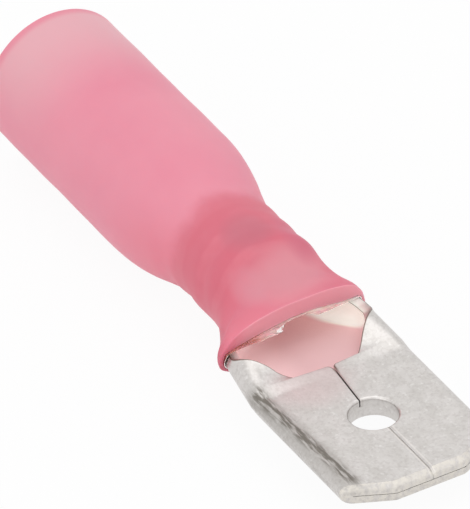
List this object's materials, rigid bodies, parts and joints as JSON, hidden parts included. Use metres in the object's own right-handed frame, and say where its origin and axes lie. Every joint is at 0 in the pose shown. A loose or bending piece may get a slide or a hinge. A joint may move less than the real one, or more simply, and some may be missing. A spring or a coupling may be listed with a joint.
{
  "type": "male spade terminal",
  "caption": "Heat-shrink insulated male spade terminal with a folded sheet-metal tab, locking hole, rolled wire barrel and adhesive-lined sleeve.",
  "frame": {"origin": "centre of the sleeve's wire-end face, on the axis of the wire", "axes": "+X along the wire's axis from the wire end to the tab's tip, +Y across the tab, +Z out of the tab's seam side"},
  "size_m": [0.0266, 0.0064, 0.0056],
  "materials": {
    "tinned_brass": "satin tin plating on brass sheet",
    "hot_melt": "clear amber hot-melt adhesive",
    "heat_shrink": "satin translucent pink polyolefin"
  },
  "bodies": {
    "root": {"terminal": "tinned_brass", "adhesive_liner": "hot_melt", "jacket": "heat_shrink"}
  },
  "joints": []
}
